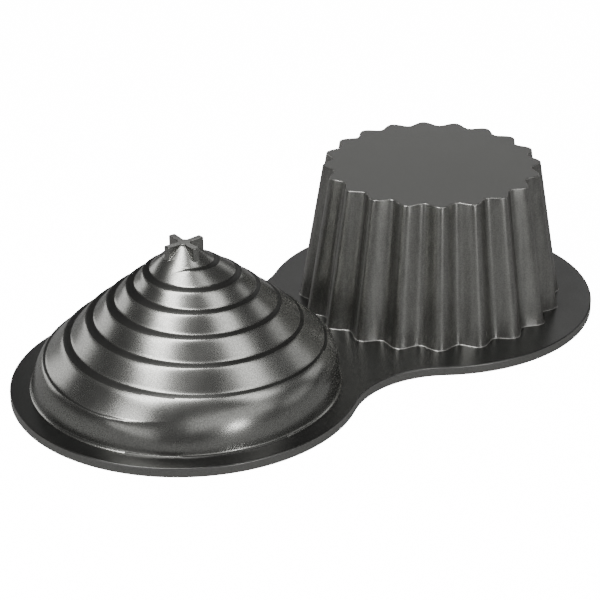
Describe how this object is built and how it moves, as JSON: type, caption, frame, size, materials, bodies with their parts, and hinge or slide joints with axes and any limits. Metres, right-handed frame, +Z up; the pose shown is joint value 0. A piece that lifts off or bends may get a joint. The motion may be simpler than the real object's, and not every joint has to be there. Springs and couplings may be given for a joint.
{
  "type": "cake pan",
  "caption": "Cast cake pan lying mouths down: a coiled swirl mould with a star tip beside a fluted cup mould, on one figure-eight rim plate.",
  "frame": {"origin": "underside of the rim plate, at the middle of the pan's length and width", "axes": "+X from the swirl mould to the cup mould, +Z up through the moulds, away from their mouths"},
  "size_m": [0.3961, 0.208, 0.0961],
  "materials": {
    "coated_rim": "satin dark non-stick coating",
    "coated_mould": "finely speckled dark metallic non-stick coating"
  },
  "bodies": {
    "root": {"rim_plate": "coated_rim", "swirl_mould": "coated_mould", "star_tip": "coated_mould", "cup_wall": "coated_mould", "cup_floor": "coated_rim"}
  },
  "joints": []
}
